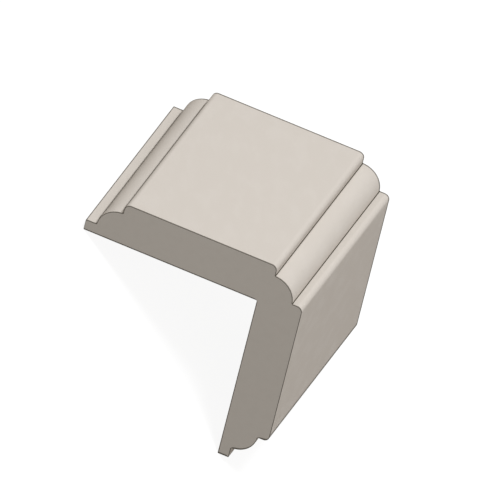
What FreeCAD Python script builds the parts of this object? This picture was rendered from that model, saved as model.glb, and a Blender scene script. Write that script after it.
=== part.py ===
import FreeCAD, Part
import math
import os

# Corner guard: one moulded length of L shaped trim that caps an outside wall corner.
# A round bead runs along the corner and another along the tip of each leg. A small step
# parts every bead from the flat outer face, and a thin flange ends each leg.
# The section is drawn square, with one leg level and the other hanging down, and the
# piece is then laid on the floor on the inner edges of its two flanges, ridge up.
# Origin: centre of the footprint, on the floor. Y runs along the length.

# Driving dimensions, in millimetres
LEG_WIDTH = 28.575
LENGTH = 28.575
WALL_THICKNESS = 5.715
FLANGE_WIDTH = 1.43
FLANGE_THICKNESS = 1.43
TIP_BEAD_DROP = 1.43
CORNER_BEAD_RADIUS = 2.86
CORNER_BEAD_DROP = 1.43
EDGE_ROUND = 0.71
LEAST_STEP_FLAT = 0.1

# Both legs lean at this angle once the piece lies on its flanges
LEAN_DEGREES = 45
QUARTER_TURN = 90
TO_TIP = 0
OUTWARDS = 90

# The tip bead fills the height between the flange and its own drop below the outer face
TIP_BEAD_RADIUS = WALL_THICKNESS - FLANGE_THICKNESS - TIP_BEAD_DROP
TIP_BEAD_CENTRE = LEG_WIDTH - FLANGE_WIDTH - TIP_BEAD_RADIUS
CORNER_BEAD_CENTRE = CORNER_BEAD_DROP + CORNER_BEAD_RADIUS

UP = FreeCAD.Vector(0, 0, 1)
ALONG_LENGTH = FreeCAD.Vector(0, 1, 0)
OUTER_CORNER = FreeCAD.Vector(0, 0, 0)


def level_leg(along, depth):
    """Point of the level leg: distance from the outer corner, depth below its outer face."""
    return FreeCAD.Vector(-along, 0, -depth)


def hanging_leg(along, depth):
    """The same point on the hanging leg, its mirror image about the corner's diagonal."""
    return FreeCAD.Vector(-depth, 0, -along)


def line(leg, start, end):
    return Part.LineSegment(leg(*start), leg(*end)).toShape()


def quarter_arc(leg, centre, radius, start_degrees):
    """Quarter circle on a leg. Its angle grows from TO_TIP, through OUTWARDS, to the corner."""
    points = []
    for share in (0, 0.5, 1):
        angle = math.radians(start_degrees + share * QUARTER_TURN)
        along = centre[0] + radius * math.cos(angle)
        depth = centre[1] - radius * math.sin(angle)
        points.append(leg(along, depth))
    return Part.Arc(*points).toShape()


def corner_bead():
    """Quarter round that takes the place of the sharp outer corner."""
    centre = (CORNER_BEAD_CENTRE, CORNER_BEAD_CENTRE)
    return quarter_arc(level_leg, centre, CORNER_BEAD_RADIUS, OUTWARDS)


def outer_face(leg):
    """Flat outer face, with a step down to the bead at each side and its edges rounded."""
    corner_step = CORNER_BEAD_CENTRE
    tip_step = TIP_BEAD_CENTRE
    lower_drop = min(CORNER_BEAD_DROP, TIP_BEAD_DROP)
    edge_round = min(EDGE_ROUND, lower_drop - LEAST_STEP_FLAT)
    near_centre = (corner_step + edge_round, edge_round)
    far_centre = (tip_step - edge_round, edge_round)
    return [
        line(leg, (corner_step, CORNER_BEAD_DROP), (corner_step, edge_round)),
        quarter_arc(leg, near_centre, edge_round, OUTWARDS),
        line(leg, (near_centre[0], 0), (far_centre[0], 0)),
        quarter_arc(leg, far_centre, edge_round, TO_TIP),
        line(leg, (tip_step, edge_round), (tip_step, TIP_BEAD_DROP)),
    ]


def tip(leg):
    """Quarter bead, the thin flange beyond it and the face that lies on the wall."""
    shelf = WALL_THICKNESS - FLANGE_THICKNESS
    bead_foot = LEG_WIDTH - FLANGE_WIDTH
    return [
        quarter_arc(leg, (TIP_BEAD_CENTRE, shelf), TIP_BEAD_RADIUS, TO_TIP),
        line(leg, (bead_foot, shelf), (LEG_WIDTH, shelf)),
        line(leg, (LEG_WIDTH, shelf), (LEG_WIDTH, WALL_THICKNESS)),
        line(leg, (LEG_WIDTH, WALL_THICKNESS), (WALL_THICKNESS, WALL_THICKNESS)),
    ]


def section():
    """Closed outline of the whole L, both legs and the corner bead."""
    edges = [corner_bead()]
    for leg in (level_leg, hanging_leg):
        edges += outer_face(leg) + tip(leg)
    outline = Part.Wire(Part.sortEdges(edges)[0])
    return Part.Face(outline)


def corner_guard():
    """The section drawn out to its length and laid down on its flanges."""
    solid = section().extrude(ALONG_LENGTH * LENGTH)
    solid.translate(ALONG_LENGTH * (-LENGTH / 2))
    solid.rotate(OUTER_CORNER, ALONG_LENGTH, -LEAN_DEGREES)
    ridge_height = (LEG_WIDTH + WALL_THICKNESS) * math.sin(math.radians(LEAN_DEGREES))
    solid.translate(UP * ridge_height)
    return solid


os.makedirs("parts", exist_ok=True)
corner_guard().exportStep("parts/corner_guard.step")
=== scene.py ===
"""Corner guard: one short length of primed wood moulding that caps an outside wall corner.

The guard lies ridge up on the edges of its two flanges. Its place, its length, the width of
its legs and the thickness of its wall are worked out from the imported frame. The section is
drawn once, with its arrises eased a little, and is carried along a rail that also turns in
over the two sawn ends.
"""

from __future__ import annotations

import logging
import math
from dataclasses import dataclass
from enum import Enum, IntEnum

import bpy
import numpy as np
from mathutils import Matrix, Vector


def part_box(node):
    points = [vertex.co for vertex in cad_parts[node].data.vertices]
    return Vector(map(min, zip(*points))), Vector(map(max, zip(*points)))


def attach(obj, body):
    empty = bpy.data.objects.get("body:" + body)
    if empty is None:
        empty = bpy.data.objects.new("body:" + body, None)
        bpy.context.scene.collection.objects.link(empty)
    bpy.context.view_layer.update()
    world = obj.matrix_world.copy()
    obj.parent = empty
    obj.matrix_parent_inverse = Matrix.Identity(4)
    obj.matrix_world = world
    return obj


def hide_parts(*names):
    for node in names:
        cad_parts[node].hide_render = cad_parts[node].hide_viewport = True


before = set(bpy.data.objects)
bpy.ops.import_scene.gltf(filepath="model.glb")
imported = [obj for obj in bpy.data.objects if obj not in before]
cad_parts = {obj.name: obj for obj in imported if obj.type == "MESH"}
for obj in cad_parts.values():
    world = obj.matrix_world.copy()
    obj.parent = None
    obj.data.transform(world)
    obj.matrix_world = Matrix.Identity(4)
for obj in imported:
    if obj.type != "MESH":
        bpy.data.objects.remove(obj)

LOG = logging.getLogger("corner_guard")
MM = 0.001
NODE = "corner_guard"
BODY = "root"
# Name of the point attribute that holds the shade painted along the edges and in the quirks.
SHADE_ATTRIBUTE = "painted_shade"
Colour = tuple[float, float, float]
# What a node's input takes: a value, or the output that feeds it.
Feed = float | tuple[float, ...] | bpy.types.NodeSocket

# Both legs lean at 45 degrees, whose sine and cosine are half the root of 2.
HALF_ROOT = math.sqrt(0.5)
# Places round the section that are closer than this, in metres, are one mesh point.
SAME_PLACE = 1e-9
# Where the mesh gets points beside a sharp edge, as shares of how much the edge is eased.
NEAR_AN_EDGE = np.array([0.25, 0.5, 0.75, 1.0, 1.25, 1.6, 2.0, 2.5, 3.0, 3.5, 4.0, 4.5])
# Where it gets them at the limit of the shade painted along an end, as shares of how far that
# shade reaches.
NEAR_THE_SHADE_LIMIT = np.array([0.8, 0.9, 1.0])


@dataclass(frozen=True)
class Trace:
    """Painted shade along a sharp edge of the section: a dark line, or a darker band beside it.

    Args:
        strength: How dark it is at the edge, from 0 to 1.
        before: How far it reaches towards the ridge, in metres.
        after: How far it reaches away from the ridge.
        power: How late it falls off. A high power makes a crisp line.
        taper: Whether it narrows towards the two ends.
        right_leg_only: Whether the left leg lacks it there.
    """

    strength: float
    before: float
    after: float
    power: int = 4
    taper: bool = False
    right_leg_only: bool = False


# Dark lines painted along every arris, and darker ones in every quirk, where shade falls.
ARRIS_LINE = Trace(strength=0.9, before=0.15 * MM, after=0.15 * MM)
QUIRK_LINE = Trace(strength=1.0, before=0.11 * MM, after=0.11 * MM)


class Meeting(Enum):
    """How one stretch of the section meets the next. Its value is the shade painted there: dark
    lines, and darker bands where shade falls.
    """

    TANGENT = ()
    ARRIS = (ARRIS_LINE,)
    QUIRK = (QUIRK_LINE,)
    # Also a faint painted shade up the step wall beside the corner bead.
    CORNER_QUIRK = (
        QUIRK_LINE,
        Trace(strength=0.07, before=0.25 * MM, after=0.8 * MM, power=6),
    )
    # Painted shade: a dark band on the right leg only, where its outer face rounds over at the
    # tip.
    TIP_EDGE = (Trace(strength=0.65, before=0.37 * MM, after=0.3 * MM, right_leg_only=True),)
    # Painted shade in the quirk at the head of the tip bead: a dark band on the bead's top, and a
    # broader one up the step wall and its shoulder.
    BEAD_HEAD = (
        QUIRK_LINE,
        Trace(strength=1.0, before=0.11 * MM, after=0.39 * MM, power=8, taper=True),
        Trace(strength=0.6, before=1.3 * MM, after=0.11 * MM, power=8, taper=True),
    )
    # Painted shade in the quirk at the foot of the tip bead: a dark band on the flange, and a
    # broader one up the bead's underside.
    BEAD_FOOT = (
        QUIRK_LINE,
        Trace(strength=1.0, before=0.11 * MM, after=0.26 * MM, taper=True),
        Trace(strength=0.5, before=1.8 * MM, after=0.11 * MM, power=6, taper=True),
    )


class Surface(IntEnum):
    """Which finish a face of the mesh wears. Its value is the material slot."""

    MILLED = 0
    SAWN = 1


@dataclass(frozen=True)
class Stretch:
    """One line or arc of the section, in distances along a leg and below its outer face.

    Args:
        start: Where it starts, as (along, depth) in metres.
        end: Where it ends.
        centre: Centre of the arc, or None for a line.
        meeting: How its end meets the next stretch.
    """

    start: tuple[float, float]
    end: tuple[float, float]
    centre: tuple[float, float] | None
    meeting: Meeting

    def knots(self, arc_steps: int) -> np.ndarray:
        """Points of the stretch, both ends included.

        A line is its two ends. An arc's points are its centre plus its radius times the
        cosine and sine of an angle, which goes evenly from the start's to the end's.

        Args:
            arc_steps: Steps that an arc is cut into.

        Returns:
            Array of shape (points, 2).
        """
        ends = np.array([self.start, self.end])
        if self.centre is None:
            return ends
        arms = ends - self.centre
        first, last = np.unwrap(np.arctan2(arms[:, 1], arms[:, 0]))
        angle = np.linspace(first, last, arc_steps + 1)
        radius = np.hypot(*arms[0])
        return self.centre + radius * np.column_stack([np.cos(angle), np.sin(angle)])


@dataclass(frozen=True)
class EasedPath:
    """A path through knots, whose corners can be eased.

    An eased point is the mean of the sharp path over a short window before and after it, so
    that straight stretches stay where they are and a corner becomes a small round. The two
    ends of the window count half in that mean.

    Args:
        knots: Array of shape (knots, 2). A closed path repeats its first knot at the end.
        closed: Whether the path comes back to its start.
        window_steps: Even steps that the window is cut into.
    """

    knots: np.ndarray
    closed: bool
    window_steps: int = 32

    def distances(self) -> np.ndarray:
        """Distance of each knot along the path."""
        steps = np.hypot(*np.diff(self.knots, axis=0).T)
        return np.concatenate([[0.0], np.cumsum(steps)])

    def sharp(self, at: np.ndarray) -> np.ndarray:
        """Points of the path before easing.

        Args:
            at: Distances along the path, of any shape.

        Returns:
            Array of the same shape with a last axis of 2.
        """
        along = self.distances()
        period = along[-1] if self.closed else None
        known = slice(None, -1) if self.closed else slice(None)
        axes = [np.interp(at, along[known], axis[known], period=period) for axis in self.knots.T]
        return np.stack(axes, axis=-1)

    def points(self, at: np.ndarray, ease: float | np.ndarray) -> np.ndarray:
        """Eased points: the mean of the sharp path over the window round each distance.

        Args:
            at: Distances along the path.
            ease: Half the length of the window. A column of them gives a row for each.

        Returns:
            Array of shape (distances, 2), or (rows, distances, 2).
        """
        share = np.linspace(-1.0, 1.0, self.window_steps + 1)
        weight = np.ones_like(share)
        weight[[0, -1]] = 0.5
        window = self.sharp(at[..., None] + np.asarray(ease)[..., None] * share)
        return np.einsum("...wa,w->...a", window, weight / weight.sum())

    def headings(self, at: np.ndarray, ease: float | np.ndarray) -> np.ndarray:
        """Unit directions of the eased path: from the window's first point to its last."""
        chord = self.sharp(at + ease) - self.sharp(at - ease)
        return chord / np.linalg.norm(chord, axis=-1, keepdims=True)


def falloff(away: np.ndarray, reach: np.ndarray, power: int) -> np.ndarray:
    """One minus a power of the distance over the reach, and 0 beyond the reach."""
    return np.clip(1.0 - (away / reach) ** power, 0.0, 1.0)


@dataclass(frozen=True)
class ShadeEdge:
    """One trace of painted shade at its place round the closed section.

    Args:
        at: Distance of the edge along the section, in metres.
        trace: The painted shade that lies there.
        mirrored: Whether the edge is on the right leg, where the path runs to the ridge.
    """

    at: float
    trace: Trace
    mirrored: bool

    def darkness(self, at: np.ndarray, length: float, left: np.ndarray) -> np.ndarray:
        """Strength of the trace times its falloff on that side, the shorter way round.

        Args:
            at: Distances along the section.
            length: Length of the whole section.
            left: Share of a tapering trace's reach that is left, as a column along the rail.

        Returns:
            Values from 0 to 1, of shape (rail, round).
        """
        past = (at - self.at + length / 2) % length - length / 2
        if self.mirrored:
            past = -past
        share = left if self.trace.taper else np.ones_like(left)
        reach = share * np.where(past < 0.0, self.trace.before, self.trace.after)
        return self.trace.strength * falloff(np.abs(past), reach, self.trace.power)


def spread(length: float, steps: int, near: np.ndarray, sharp: tuple[bool, bool]) -> np.ndarray:
    """Distances at which a stretch gets mesh points, closer together beside its sharp ends.

    Args:
        length: Length of the stretch.
        steps: Even steps that the whole stretch is cut into.
        near: Distances from a sharp end that get a point of their own, in rising order.
        sharp: Whether the start is sharp, and whether the end is.

    Returns:
        Rising distances from 0 to the length.
    """
    near = near[near < length / 2]
    clear = near[-1] + near[0]
    even = np.linspace(0.0, length, steps + 1)
    low = clear if sharp[0] else 0.0
    high = length - clear if sharp[1] else length
    kept = even[(even >= low) & (even <= high)]
    starts = near if sharp[0] else near[:0]
    ends = length - near if sharp[1] else near[:0]
    return np.unique(np.concatenate([[0.0, length], kept, starts, ends]))


@dataclass(frozen=True)
class GuardSection:
    """The L shaped section, both legs alike, in metres.

    Sizes run along a leg from the sharp outer corner that the bead replaces, and in from the
    leg's flat outer face.

    Args:
        leg_width: From the outer corner to the flange's edge.
        wall: Thickness of a leg.
        flange_width: How far the flange stands out past the foot of the tip bead.
        flange_thickness: Thickness of the flange.
        tip_bead_drop: How far the top of the tip bead lies below the outer face.
        corner_bead_radius: Radius of the corner bead.
        corner_bead_drop: How far it lies below the outer face where it meets the step.
        edge_round: Radius of the shoulders at both sides of the outer face.
        ease: Half the window that eases the sharp edges.
        arc_steps: Mesh steps that an arc is cut into.
        flat_pitch: Spacing of the mesh points on a flat.
    """

    leg_width: float
    wall: float
    flange_width: float = 1.43 * MM
    flange_thickness: float = 1.43 * MM
    tip_bead_drop: float = 1.43 * MM
    corner_bead_radius: float = 2.86 * MM
    corner_bead_drop: float = 1.43 * MM
    edge_round: float = 0.71 * MM
    ease: float = 0.09 * MM
    arc_steps: int = 24
    flat_pitch: float = 0.7 * MM

    @classmethod
    def in_box(cls, low: Vector, high: Vector) -> GuardSection:
        """Section that fills the frame's box.

        The widest points are the flanges' outer arrises, so a leg's width less the wall is
        the box's width over the root of 2, less the flange. The highest point is the top of
        the corner bead, so the leg and wall together are the height of the bead's centre
        times the root of 2, plus twice that centre's depth.

        Args:
            low: Lowest corner of the box.
            high: Highest corner of the box.

        Returns:
            The section.
        """
        centre = cls.corner_bead_drop + cls.corner_bead_radius
        both = (high.z - low.z - cls.corner_bead_radius) / HALF_ROOT + 2 * centre
        difference = (high.x - low.x) * HALF_ROOT - cls.flange_thickness
        leg_width = (both + difference) / 2
        return cls(leg_width=leg_width, wall=both - leg_width)

    @property
    def ridge_height(self) -> float:
        """Height above the floor at which the two outer faces would meet."""
        return (self.leg_width + self.wall) * HALF_ROOT

    @property
    def path_steps(self) -> int:
        """Steps of an arc on the path, which is twice as fine as the mesh."""
        return 2 * self.arc_steps

    def stretches(self) -> list[Stretch]:
        """Half of the section, from the top of the corner bead to the inner corner.

        The corner bead is centred as far in from both outer faces as its drop and its radius
        together. The tip bead fills the height between the flange and its own drop.

        Returns:
            The lines and arcs, in order down the leg.
        """
        corner = self.corner_bead_drop + self.corner_bead_radius
        crown = corner - self.corner_bead_radius * HALF_ROOT
        shelf = self.wall - self.flange_thickness
        foot = self.leg_width - self.flange_width
        tip = foot - (shelf - self.tip_bead_drop)
        ease = self.edge_round
        stops = [
            ((crown, crown), None, Meeting.TANGENT),
            ((corner, self.corner_bead_drop), (corner, corner), Meeting.CORNER_QUIRK),
            ((corner, ease), None, Meeting.TANGENT),
            ((corner + ease, 0.0), (corner + ease, ease), Meeting.TANGENT),
            ((tip - ease, 0.0), None, Meeting.TIP_EDGE),
            ((tip, ease), (tip - ease, ease), Meeting.TANGENT),
            ((tip, self.tip_bead_drop), None, Meeting.BEAD_HEAD),
            ((foot, shelf), (tip, shelf), Meeting.BEAD_FOOT),
            ((self.leg_width, shelf), None, Meeting.ARRIS),
            ((self.leg_width, self.wall), None, Meeting.ARRIS),
            ((self.wall, self.wall), None, Meeting.QUIRK),
        ]
        return [
            Stretch(before[0], stop, centre, meeting)
            for before, (stop, centre, meeting) in zip(stops, stops[1:])
        ]

    def path(self) -> EasedPath:
        """The whole section as one closed path, in across and height.

        A point of the left leg lies across by its depth less its distance along the leg, and
        below the ridge by the sum of the two, both over the root of 2. The right leg is its
        mirror image.

        Returns:
            The path, from the top of the corner bead down the left leg and up the right one.
        """
        stretches = self.stretches()
        parts = [stretch.knots(self.path_steps)[1:] for stretch in stretches]
        half = np.concatenate([[stretches[0].start], *parts])
        across = (half[:, 1] - half[:, 0]) * HALF_ROOT
        height = self.ridge_height - half.sum(axis=1) * HALF_ROOT
        left = np.column_stack([across, height])
        right = left[-2::-1] * (-1.0, 1.0)
        return EasedPath(np.concatenate([left, right]), closed=True)

    def edges_and_stations(self, length: float) -> tuple[list[ShadeEdge], np.ndarray]:
        """Painted shade on the sharp edges round the section, and where its mesh points go.

        Args:
            length: Length of the whole closed path.

        Returns:
            The edges with painted shade, and the rising distances of the mesh points.
        """
        near = self.ease * NEAR_AN_EDGE
        reached, sharp_start = 0.0, False
        places, edges = [], []
        for stretch in self.stretches():
            span = np.hypot(*np.diff(stretch.knots(self.path_steps), axis=0).T).sum()
            is_line = stretch.centre is None
            steps = math.ceil(span / self.flat_pitch) if is_line else self.arc_steps
            sharp_end = stretch.meeting is not Meeting.TANGENT
            places.append(reached + spread(span, steps, near, (sharp_start, sharp_end)))
            reached += span
            sharp_start = sharp_end
            for trace in stretch.meeting.value:
                edges.append(ShadeEdge(length - reached, trace, mirrored=True))
                if not trace.right_leg_only:
                    edges.append(ShadeEdge(reached, trace, mirrored=False))
        half = np.concatenate(places)
        half = half[np.append(True, np.diff(half) > SAME_PLACE)]
        return edges, np.concatenate([half, length - half[-2:0:-1]])


@dataclass(frozen=True)
class EndRail:
    """How the section is carried: in over one sawn end, along, and in over the other.

    A rail point is how far the section is drawn in, and where it stands along the length.
    As the section is drawn in its corners are eased more, so that they never fold over.

    Args:
        low: Where the front end is cut.
        high: Where the back end is cut.
        ease: Easing of the ends' arrises.
        ease_per_inset: How much more the section's corners are eased as it is drawn in.
        shade_strength: How dark the shade line painted on the arrises is.
        shade_power: How late it falls off.
        milled_reach: How far it reaches along the milled faces.
        rim_reach: How far it reaches in over the end.
        inner_right_rim_reach: How far it does so beside the right leg's inner face.
        inner_left_rim_reach: How far it does so beside the left leg's inner face.
        tip_rim_reach: How far it does so beside the right leg's tip, where it looks down.
        back_reach: How far it reaches along the milled faces at the back.
        back_right_reach: How far it does so on the right leg's outer face.
        squareness: Power that ends that extra reach at the rounded shoulders.
        down_power: Power of how squarely a face looks down, in how far the painted shade reaches.
        taper: How far from an end the wider painted shade of the section has its full reach.
        least_left: Least share of that reach that is left.
        lead: Length of rail before the first arris.
        pitch: Spacing of the mesh points along the length.
    """

    low: float
    high: float
    ease: float = 0.05 * MM
    ease_per_inset: float = 2.0
    shade_strength: float = 0.82
    shade_power: int = 4
    milled_reach: float = 0.18 * MM
    rim_reach: float = 0.08 * MM
    inner_right_rim_reach: float = 0.14 * MM
    inner_left_rim_reach: float = 0.21 * MM
    tip_rim_reach: float = 0.28 * MM
    back_reach: float = 0.27 * MM
    back_right_reach: float = 0.5 * MM
    squareness: int = 12
    down_power: int = 2
    taper: float = 1.4 * MM
    least_left: float = 0.1
    lead: float = 0.4 * MM
    pitch: float = 1.4 * MM

    @property
    def length(self) -> float:
        """Distance from end to end."""
        return self.high - self.low

    def path(self) -> EasedPath:
        """Rail with its two corners at the ends' arrises, as (inset, length)."""
        knots = [(self.lead, self.low), (0.0, self.low), (0.0, self.high), (self.lead, self.high)]
        return EasedPath(np.array(knots), closed=False)

    def stations(self) -> np.ndarray:
        """Where the rail gets mesh points: along the length, and over the rims at both ends.

        Returns:
            Rising distances along the rail, closer together at the arrises and at the limits of
            the painted shade.
        """
        close = self.ease * NEAR_AN_EDGE
        milled_reaches = [self.milled_reach, self.back_reach, self.back_right_reach]
        near = np.union1d(close, np.outer(milled_reaches, NEAR_THE_SHADE_LIMIT))
        along = spread(self.length, math.ceil(self.length / self.pitch), near, (True, True))
        rim_reaches = [self.inner_right_rim_reach, self.inner_left_rim_reach, self.tip_rim_reach]
        rim = np.union1d(close, np.outer(rim_reaches, NEAR_THE_SHADE_LIMIT))
        return self.lead + np.concatenate([-rim[::-1], along, self.length + rim])

    def inside(self, at: np.ndarray) -> np.ndarray:
        """Distance of each place from the nearer arris, negative on a rim."""
        return self.length / 2 - np.abs(at - self.lead - self.length / 2)

    def painted_shade(self, at: np.ndarray, ring: np.ndarray, normal: np.ndarray) -> np.ndarray:
        """Shade painted along the two end arrises: its strength times its falloff over its reach.

        Over the rims it reaches further in beside faces that look down, by the square of how
        squarely they do. By the same square, it is narrow at the front along the left leg's
        faces that look down and left. At the back it reaches furthest along the right leg's
        outer face, by a high power of how squarely the surface faces the same way.

        Args:
            at: Distances along the rail.
            ring: Points round the section, as (across, height), for each distance.
            normal: Outward normals there.

        Returns:
            Values from 0 to 1, of shape (rail, round).
        """
        inside = self.inside(at)[:, None]
        at_back = (at > self.lead + self.length / 2)[:, None]
        on_left = ring[..., 0] < 0.0
        across, height = normal[..., 0] * HALF_ROOT, normal[..., 1] * HALF_ROOT
        up_right = np.clip(across + height, 0.0, 1.0) ** self.squareness
        down_right = np.clip(across - height, 0.0, 1.0) ** self.down_power
        down_left = np.clip(-across - height, 0.0, 1.0) ** self.down_power
        right_reach = np.where(on_left, self.inner_left_rim_reach, self.tip_rim_reach)
        left_reach = np.where(on_left, self.rim_reach, self.inner_right_rim_reach)
        rim = self.rim_reach + (right_reach - self.rim_reach) * down_right
        rim += (left_reach - self.rim_reach) * down_left
        milled = self.milled_reach - (self.milled_reach - self.rim_reach) * down_left * on_left
        back = self.back_reach + (self.back_right_reach - self.back_reach) * up_right
        milled = np.where(at_back, back, milled)
        reach = np.where(inside > 0.0, milled, rim)
        return self.shade_strength * falloff(np.abs(inside), reach, self.shade_power)


@dataclass
class CornerGuard:
    """The one piece of the object: the moulding, with milled faces and sawn ends.

    Args:
        section: The section of the moulding.
        rail: How the section is carried.
        name: Name of the piece.
    """

    section: GuardSection
    rail: EndRail
    name: str = "guard_moulding"

    def grid(self) -> tuple[np.ndarray, np.ndarray, np.ndarray]:
        """Mesh points of the milled faces and of the rims of the ends.

        A point is the section's eased point, less the rail's inset times the outward normal
        of the section there, at the rail's distance along the length.

        Returns:
            Points of shape (rail, round, 3), their painted shade of shape (rail, round), and the
            inset of each rail point.
        """
        outline = self.section.path()
        total = outline.distances()[-1]
        edges, around = self.section.edges_and_stations(total)
        along = self.rail.stations()
        inset, length = self.rail.path().points(along, self.rail.ease).T
        ease = (self.section.ease + self.rail.ease_per_inset * inset)[:, None]
        ring = outline.points(around, ease)
        heading = outline.headings(around, ease)
        normal = np.stack([heading[..., 1], -heading[..., 0]], axis=-1)
        flat = ring - inset[:, None, None] * normal
        depth = np.broadcast_to(length[:, None], flat.shape[:2])
        points = np.stack([flat[..., 0], depth, flat[..., 1]], axis=-1)
        end_shade = self.rail.painted_shade(along, ring, normal)
        painted_shade = np.maximum(end_shade, self.section_shade(edges, around, total, along))
        return points, painted_shade, inset

    def section_shade(
        self, edges: list[ShadeEdge], around: np.ndarray, total: float, along: np.ndarray
    ) -> np.ndarray:
        """Painted shade that runs along the section's own edges, where the darkest trace counts.

        It fades out over the rims, and a tapering trace's reach grows evenly from its least
        share at an end to the whole of it further in.

        Args:
            edges: The dusty edges round the section.
            around: Distances along the section.
            total: Length of the whole section.
            along: Distances along the rail.

        Returns:
            Values from 0 to 1, of shape (rail, round).
        """
        inside = self.rail.inside(along)[:, None]
        over_rim = np.clip(1.0 + inside / self.rail.rim_reach, 0.0, 1.0)
        left = np.clip(inside / self.rail.taper, self.rail.least_left, 1.0)
        return over_rim * np.max([edge.darkness(around, total, left) for edge in edges], axis=0)

    def build(self, materials: dict[Surface, bpy.types.Material]) -> bpy.types.Object:
        """Makes the moulding's mesh, with its attribute of painted shade and its finishes.

        Neighbouring points of the grid are joined by four-sided faces, and one flat face
        closes each end.

        Args:
            materials: The finish of each surface.

        Returns:
            The new object, in the scene.
        """
        points, painted_shade, inset = self.grid()
        rows, columns = painted_shade.shape
        index = np.arange(rows * columns).reshape(rows, columns)
        after = np.roll(index, -1, axis=1)
        quads = np.stack([index[:-1], index[1:], after[1:], after[:-1]], axis=-1)
        caps = [index[0].tolist(), index[-1, ::-1].tolist()]
        mesh = bpy.data.meshes.new(self.name)
        mesh.from_pydata(points.reshape(-1, 3).tolist(), [], quads.reshape(-1, 4).tolist() + caps)
        for surface in Surface:
            mesh.materials.append(materials[surface])
        on_end = np.minimum(inset[:-1], inset[1:]) > 0.0
        finish = np.where(on_end, Surface.SAWN, Surface.MILLED).repeat(columns)
        slots = np.append(finish, [Surface.SAWN] * len(caps)).astype(np.int32)
        mesh.polygons.foreach_set("material_index", slots)
        mesh.polygons.foreach_set("use_smooth", np.ones(len(slots), dtype=bool))
        # The shade painted along the edges, as a point attribute.
        attribute = mesh.attributes.new(SHADE_ATTRIBUTE, "FLOAT", "POINT")
        attribute.data.foreach_set("value", painted_shade.ravel().astype(np.float32))
        mesh.update()
        piece = bpy.data.objects.new(self.name, mesh)
        bpy.context.scene.collection.objects.link(piece)
        return piece


class NodeSheet:
    """Adds nodes to a tree and joins them, so that a finish reads as a list of steps."""

    def __init__(self, tree: bpy.types.NodeTree) -> None:
        """Starts on an empty tree."""
        self.tree = tree
        tree.nodes.clear()

    def add(
        self, kind: str, inputs: dict[str | int, Feed] | None = None, **options: object
    ) -> bpy.types.Node:
        """Adds one node.

        Args:
            kind: The node's type name, without a leading ShaderNode.
            inputs: Input name or number to a value, or to the output socket that feeds it.
            options: The node's own settings.

        Returns:
            The new node.
        """
        prefix = "" if kind.startswith("NodeGroup") else "ShaderNode"
        node = self.tree.nodes.new(prefix + kind)
        for name, value in options.items():
            setattr(node, name, value)
        for key, value in (inputs or {}).items():
            if isinstance(value, bpy.types.NodeSocket):
                self.tree.links.new(value, node.inputs[key])
            else:
                node.inputs[key].default_value = value
        return node

    def maths(self, operation: str, *values: Feed) -> bpy.types.NodeSocket:
        """Result of a Math node on one to three values."""
        return self.add("Math", dict(enumerate(values)), operation=operation).outputs[0]

    def mix(self, share: Feed, first: Feed, second: Feed) -> bpy.types.NodeSocket:
        """Blends two colours.

        Args:
            share: 0 for the first colour, 1 for the second, and a blend between the two.
            first: The first colour.
            second: The second colour.

        Returns:
            The blend.
        """
        factor, colour_a, colour_b, result = 0, 6, 7, 2
        inputs = {factor: share, colour_a: first, colour_b: second}
        return self.add("Mix", inputs, data_type="RGBA").outputs[result]

    def noise(self, place: Feed, scale: Feed, detail: float) -> bpy.types.NodeSocket:
        """Value of a noise pattern, about 0.5 on average."""
        inputs = {"Vector": place, "Scale": scale, "Detail": detail}
        return self.add("TexNoise", inputs).outputs["Fac"]

    def ease_in(self, value: Feed, low: float, high: float) -> bpy.types.NodeSocket:
        """Value that eases from 0 at low to 1 at high."""
        inputs = {"Value": value, "From Min": low, "From Max": high}
        return self.add("MapRange", inputs, interpolation_type="SMOOTHSTEP").outputs["Result"]


def opaque(colour: Colour) -> tuple[float, float, float, float]:
    """The colour with a full alpha, as a colour socket takes it."""
    return (*colour, 1.0)


@dataclass(frozen=True)
class Effect:
    """A shared effect: a shader node group with named inputs and outputs.

    Args:
        name: Name of the group.
        inputs: Name and kind of each input.
        outputs: Name and kind of each output.
    """

    name: str
    inputs: tuple[tuple[str, str], ...]
    outputs: tuple[tuple[str, str], ...]

    def start(self) -> tuple[NodeSheet, bpy.types.Node, bpy.types.Node]:
        """Makes the empty group.

        Returns:
            Its node sheet, its input node and its output node.
        """
        tree = bpy.data.node_groups.new(self.name, "ShaderNodeTree")
        sheet = NodeSheet(tree)
        for direction, sockets in (("INPUT", self.inputs), ("OUTPUT", self.outputs)):
            for name, kind in sockets:
                tree.interface.new_socket(name=name, in_out=direction, socket_type=kind)
        return sheet, sheet.add("NodeGroupInput"), sheet.add("NodeGroupOutput")


FLOAT, COLOUR, VECTOR = "NodeSocketFloat", "NodeSocketColor", "NodeSocketVector"
TONE_PATCHES = Effect(
    "tone_patches",
    (("Place", VECTOR), ("Tone", COLOUR), ("Pale Tone", COLOUR), ("Scale", FLOAT)),
    (("Color", COLOUR), ("Patch", FLOAT)),
)
# Darkens a colour by the shade painted along the edges.
EDGE_SHADE = Effect(
    "painted_edge_shade",
    (("Color", COLOUR), ("Painted Shade Color", COLOUR), ("Painted Shade", FLOAT)),
    (("Color", COLOUR),),
)
BRUSHED_RELIEF = Effect(
    "brushed_relief",
    (("Place", VECTOR), ("Scale", FLOAT), ("Streaks", FLOAT)),
    (("Height", FLOAT),),
)
# Finer layers of noise in the patches, the pores and the streaks.
PATCH_DETAIL, PORE_DETAIL, STREAK_DETAIL = 5.0, 3.0, 2.0
# Noise values at which a patch begins and is at its palest.
PATCH_LIMITS = (0.44, 0.68)
# Scale of the streaks' pattern on each axis. Y runs along the length.
STREAK_SQUEEZE = (1.0, 0.04, 1.0)


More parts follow.
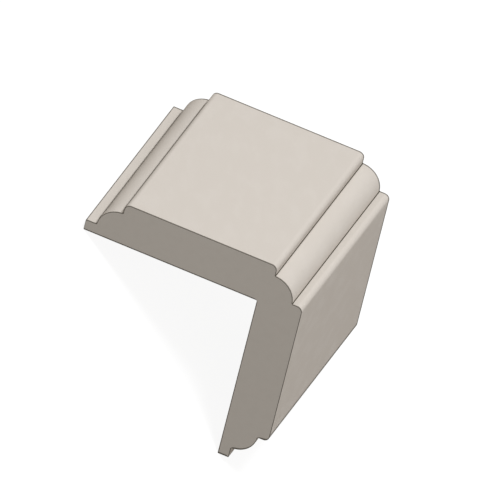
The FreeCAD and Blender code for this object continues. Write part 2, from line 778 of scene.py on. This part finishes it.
def build_tone_patches() -> bpy.types.NodeTree:
    """Soft paler patches over a base tone, where a broad noise is high.

    Returns:
        The group.
    """
    sheet, given, made = TONE_PATCHES.start()
    broad = sheet.noise(given.outputs["Place"], given.outputs["Scale"], PATCH_DETAIL)
    patch = sheet.ease_in(broad, *PATCH_LIMITS)
    colour = sheet.mix(patch, given.outputs["Tone"], given.outputs["Pale Tone"])
    sheet.tree.links.new(colour, made.inputs["Color"])
    sheet.tree.links.new(patch, made.inputs["Patch"])
    return sheet.tree


def build_edge_shade() -> bpy.types.NodeTree:
    """Shade painted along the sharp edges, read from the mesh's own attribute.

    Returns:
        The group.
    """
    sheet, given, made = EDGE_SHADE.start()
    painted_shade = sheet.add("Attribute", attribute_name=SHADE_ATTRIBUTE).outputs["Fac"]
    share = sheet.maths("MULTIPLY", painted_shade, given.outputs["Painted Shade"])
    colour = sheet.mix(share, given.outputs["Color"], given.outputs["Painted Shade Color"])
    sheet.tree.links.new(colour, made.inputs["Color"])
    return sheet.tree


def build_brushed_relief() -> bpy.types.NodeTree:
    """Height of a brushed coat: fine pores, and streaks drawn out along the length.

    Returns:
        The group.
    """
    sheet, given, made = BRUSHED_RELIEF.start()
    pores = sheet.noise(given.outputs["Place"], given.outputs["Scale"], PORE_DETAIL)
    drawn = sheet.add("Mapping", {"Vector": given.outputs["Place"], "Scale": STREAK_SQUEEZE})
    streaks = sheet.noise(drawn.outputs[0], given.outputs["Scale"], STREAK_DETAIL)
    share = sheet.maths("MULTIPLY", streaks, given.outputs["Streaks"])
    sheet.tree.links.new(sheet.maths("ADD", pores, share), made.inputs["Height"])
    return sheet.tree


@dataclass(frozen=True)
class WoodFinish:
    """A primed wood surface: its tones, the dust on its edges and its relief.

    Args:
        name: Name of the material.
        tone: Base colour.
        pale_tone: Colour of the paler patches.
        shade_colour: Colour of the shade painted along the sharp edges.
        painted_shade: How much of it shows.
        patch_scale: Patches per metre.
        patch_run: Direction that the patches are drawn out in.
        patch_squeeze: Scale of the pattern in that direction, where 1 leaves it round.
        relief_scale: Pores per metre.
        relief_depth: Depth of the relief in metres.
        streaks: Share of long streaks in the relief.
        roughness: Roughness of the paler patches, and of the rest.
        gloss: How much the surface mirrors, where 0.5 is that of varnish.
    """

    name: str
    tone: Colour
    pale_tone: Colour
    shade_colour: Colour
    painted_shade: float
    patch_scale: float
    patch_run: tuple[float, float, float]
    patch_squeeze: float
    relief_scale: float
    relief_depth: float
    streaks: float
    roughness: tuple[float, float]
    gloss: float = 0.03

    def build(self, effects: dict[str, bpy.types.NodeTree]) -> bpy.types.Material:
        """Makes the material.

        Args:
            effects: The shared effects, by name.

        Returns:
            The material.
        """
        material = bpy.data.materials.new(self.name)
        material.use_nodes = True
        sheet = NodeSheet(material.node_tree)
        place = sheet.add("TexCoord").outputs["Object"]
        patch_inputs = {
            "Place": self.drawn_out(sheet, place),
            "Tone": opaque(self.tone),
            "Pale Tone": opaque(self.pale_tone),
            "Scale": self.patch_scale,
        }
        patches = sheet.add("Group", patch_inputs, node_tree=effects[TONE_PATCHES.name])
        edge_shade_inputs = {
            "Color": patches.outputs["Color"],
            "Painted Shade Color": opaque(self.shade_colour),
            "Painted Shade": self.painted_shade,
        }
        shaded_colour = sheet.add("Group", edge_shade_inputs, node_tree=effects[EDGE_SHADE.name])
        relief_inputs = {"Place": place, "Scale": self.relief_scale, "Streaks": self.streaks}
        relief = sheet.add("Group", relief_inputs, node_tree=effects[BRUSHED_RELIEF.name])
        bump_inputs = {"Height": relief.outputs["Height"], "Distance": self.relief_depth}
        bump = sheet.add("Bump", bump_inputs)
        pale, rest = self.roughness
        rough_inputs = {"Value": patches.outputs["Patch"], "To Min": rest, "To Max": pale}
        rough = sheet.add("MapRange", rough_inputs)
        shader_inputs = {
            "Base Color": shaded_colour.outputs["Color"],
            "Roughness": rough.outputs["Result"],
            "Specular IOR Level": self.gloss,
            "Normal": bump.outputs["Normal"],
        }
        shader = sheet.add("BsdfPrincipled", shader_inputs)
        sheet.add("OutputMaterial", {"Surface": shader.outputs["BSDF"]})
        return material

    def drawn_out(self, sheet: NodeSheet, place: bpy.types.NodeSocket) -> bpy.types.NodeSocket:
        """Turns the run of the patches on to the second axis, and squeezes that axis.

        Args:
            sheet: The material's nodes.
            place: Place on the piece.

        Returns:
            Place in the pattern.
        """
        turn = Vector(self.patch_run).rotation_difference(Vector((0.0, 1.0, 0.0))).to_euler()
        turned = sheet.add("Mapping", {"Vector": place, "Rotation": turn}).outputs[0]
        squeeze = (1.0, self.patch_squeeze, 1.0)
        return sheet.add("Mapping", {"Vector": turned, "Scale": squeeze}).outputs[0]


def direction(azimuth: float, elevation: float) -> Vector:
    """Direction from the guard to a lamp or a camera.

    Args:
        azimuth: Degrees round from the front of the guard, towards the right leg.
        elevation: Degrees above the floor.

    Returns:
        Unit vector that points away from the guard.
    """
    turn, rise = math.radians(azimuth), math.radians(elevation)
    level = math.cos(rise)
    return Vector((math.sin(turn) * level, -math.cos(turn) * level, math.sin(rise)))


@dataclass(frozen=True)
class Softbox:
    """A square soft lamp that points at the guard.

    Args:
        name: Name of the lamp.
        azimuth: Degrees round from the front of the guard, towards the right leg.
        elevation: Degrees above the floor.
        size: Side of the lamp's face.
        watts: Power of the lamp.
        colour: Colour of its light.
        distance: How far it stands from the guard.
    """

    name: str
    azimuth: float
    elevation: float
    size: float
    watts: float
    colour: Colour
    distance: float = 0.9

    def build(self, aim: Vector) -> bpy.types.Object:
        """Makes the lamp.

        Args:
            aim: Where it points.

        Returns:
            The lamp's object, in the scene.
        """
        lamp = bpy.data.lights.new(self.name, "AREA")
        lamp.shape = "SQUARE"
        lamp.size = self.size
        lamp.energy = self.watts
        lamp.color = self.colour
        away = direction(self.azimuth, self.elevation)
        box = bpy.data.objects.new(self.name, lamp)
        box.location = aim + away * self.distance
        box.rotation_euler = (-away).to_track_quat("-Z", "Y").to_euler()
        bpy.context.scene.collection.objects.link(box)
        return box


@dataclass(frozen=True)
class Studio:
    """The plain floor, the fill light and the paper white behind everything.

    Args:
        floor_half_side: Half the side of the square floor.
        floor_bounce: The floor's colour in the light that it sends back up to the guard.
        floor_coat: Part of the floor's white that takes the guard's shadow.
        floor_glow: Part of it that doesn't.
        fill: Even light from all round.
        paper: Colour behind everything.
    """

    floor_half_side: float = 0.8
    floor_bounce: Colour = (0.33, 0.30, 0.26)
    floor_coat: float = 0.15
    floor_glow: float = 0.92
    fill: Colour = (0.334, 0.316, 0.298)
    paper: Colour = (1.0, 1.0, 1.0)

    def seen(self, sheet: NodeSheet) -> bpy.types.NodeSocket:
        """Tells the rays that show a surface from those that only light the guard.

        Args:
            sheet: Nodes of the floor or of the world.

        Returns:
            1 for a ray from the camera, or off or through something glossy, and otherwise 0.
        """
        path = sheet.add("LightPath").outputs
        shiny = sheet.maths("MAXIMUM", path["Is Glossy Ray"], path["Is Transmission Ray"])
        return sheet.maths("MAXIMUM", path["Is Camera Ray"], shiny)

    def build_floor(self) -> bpy.types.Object:
        """Makes the floor.

        Returns:
            A flat square at height 0, in the scene.
        """
        half = self.floor_half_side
        across, along = np.meshgrid([-half, half], [-half, half])
        corners = np.column_stack([across.ravel(), along.ravel(), np.zeros(4)])
        mesh = bpy.data.meshes.new("studio_floor")
        mesh.from_pydata(corners.tolist(), [], [(0, 1, 3, 2)])
        mesh.materials.append(self.build_floor_paper())
        floor = bpy.data.objects.new("studio_floor", mesh)
        bpy.context.scene.collection.objects.link(floor)
        return floor

    def build_floor_paper(self) -> bpy.types.Material:
        """Makes the floor's material: a glow under a white coat, and grey to other light.

        Returns:
            The material.
        """
        material = bpy.data.materials.new("studio_paper")
        material.use_nodes = True
        sheet = NodeSheet(material.node_tree)
        grey = sheet.add("BsdfDiffuse", {"Color": opaque(self.floor_bounce)})
        coat = sheet.add("BsdfDiffuse", {"Color": opaque((self.floor_coat,) * 3)})
        glow = sheet.add("Emission", {"Color": opaque(self.paper), "Strength": self.floor_glow})
        bright = sheet.add("AddShader", {0: coat.outputs[0], 1: glow.outputs[0]})
        inputs = {0: self.seen(sheet), 1: grey.outputs[0], 2: bright.outputs[0]}
        both = sheet.add("MixShader", inputs)
        sheet.add("OutputMaterial", {"Surface": both.outputs[0]})
        return material

    def build_world(self) -> bpy.types.World:
        """Makes the world: an even fill light, and paper white where it is seen.

        Returns:
            The world, given to the scene.
        """
        world = bpy.data.worlds.new("studio_world")
        world.use_nodes = True
        sheet = NodeSheet(world.node_tree)
        fill = sheet.add("Background", {"Color": opaque(self.fill)})
        paper = sheet.add("Background", {"Color": opaque(self.paper)})
        inputs = {0: self.seen(sheet), 1: fill.outputs[0], 2: paper.outputs[0]}
        both = sheet.add("MixShader", inputs)
        sheet.add("OutputWorld", {"Surface": both.outputs[0]})
        bpy.context.scene.world = world
        return world


@dataclass(frozen=True)
class ParallelCamera:
    """A camera with parallel rays, which looks down the length from above the left leg.

    Args:
        name: Name of the camera.
        azimuth: Degrees round from the front of the guard, towards the right leg.
        elevation: Degrees above the floor.
        roll: Degrees that the picture's right edge is lifted.
        picture_width: Width of the whole picture, in metres on the guard.
        aim: The place on the left leg's face at the centre of the picture.
        distance: How far the camera stands back.
        clip_factor: It sees from its distance over this to its distance times this.
    """

    name: str = "parallel_camera"
    azimuth: float = -18.247
    elevation: float = 32.672
    roll: float = 69.155
    picture_width: float = 59.756 * MM
    aim: tuple[float, float, float] = (-5.897 * MM, -13.218 * MM, 18.350 * MM)
    distance: float = 0.3
    clip_factor: float = 100.0

    def build(self) -> bpy.types.Object:
        """Makes the camera and gives it to the scene.

        Its back axis points to it from the aim. Its right axis is the level one, turned by
        the roll towards the upright one.

        Returns:
            The camera's object.
        """
        back = direction(self.azimuth, self.elevation)
        level = Vector((0.0, 0.0, 1.0)).cross(back).normalized()
        roll = math.radians(self.roll)
        right = level * math.cos(roll) + back.cross(level) * math.sin(roll)
        data = bpy.data.cameras.new(self.name)
        data.type = "ORTHO"
        data.ortho_scale = self.picture_width
        data.clip_start = self.distance / self.clip_factor
        data.clip_end = self.distance * self.clip_factor
        camera = bpy.data.objects.new(self.name, data)
        turn = Matrix((right, back.cross(right), back)).transposed().to_4x4()
        place = Vector(self.aim) + back * self.distance
        camera.matrix_world = Matrix.Translation(place) @ turn
        bpy.context.scene.collection.objects.link(camera)
        bpy.context.scene.camera = camera
        return camera


# Colour of the shade painted along the edges and in the quirks.
SHADE_COLOUR = (0.052, 0.042, 0.025)
MILLED_FINISH = WoodFinish(
    name="primed_milled_face",
    tone=(0.698, 0.648, 0.589),
    pale_tone=(0.710, 0.661, 0.603),
    shade_colour=SHADE_COLOUR,
    painted_shade=1.0,
    patch_scale=620.0,
    patch_run=(-0.27, 0.93, -0.27),
    patch_squeeze=0.45,
    relief_scale=5200.0,
    relief_depth=0.004 * MM,
    streaks=1.4,
    roughness=(0.52, 0.62),
)
SAWN_FINISH = WoodFinish(
    name="primed_sawn_end",
    tone=(0.703, 0.673, 0.630),
    pale_tone=(0.691, 0.661, 0.618),
    shade_colour=SHADE_COLOUR,
    painted_shade=1.0,
    patch_scale=900.0,
    patch_run=(0.0, 1.0, 0.0),
    patch_squeeze=1.0,
    relief_scale=6500.0,
    relief_depth=0.006 * MM,
    streaks=0.0,
    roughness=(0.66, 0.78),
)
KEY = Softbox(
    name="key_softbox",
    azimuth=-67.0,
    elevation=62.5,
    size=0.22,
    watts=5.5,
    colour=(0.98, 1.0, 1.03),
)


def main() -> None:
    """Builds the guard, the studio and the camera, and reports each of them."""
    logging.basicConfig(level=logging.INFO, format="%(name)s: %(message)s")
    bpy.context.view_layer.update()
    low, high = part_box(NODE)
    effects = {
        TONE_PATCHES.name: build_tone_patches(),
        EDGE_SHADE.name: build_edge_shade(),
        BRUSHED_RELIEF.name: build_brushed_relief(),
    }
    materials = {
        Surface.MILLED: MILLED_FINISH.build(effects),
        Surface.SAWN: SAWN_FINISH.build(effects),
    }
    guard = CornerGuard(GuardSection.in_box(low, high), EndRail(low.y, high.y))
    LOG.info("leg %.5f m, wall %.5f m", guard.section.leg_width, guard.section.wall)
    piece = guard.build(materials)
    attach(piece, BODY)
    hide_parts(NODE)
    LOG.info("%s: %d faces", piece.name, len(piece.data.polygons))

    studio = Studio()
    floor = studio.build_floor()
    world = studio.build_world()
    lamp = KEY.build((low + high) / 2)
    camera = ParallelCamera().build()
    bpy.context.scene.view_settings.view_transform = "Standard"
    for thing in (floor, world, lamp, camera):
        LOG.info("%s is in place", thing.name)


if __name__ == "__main__":
    main()
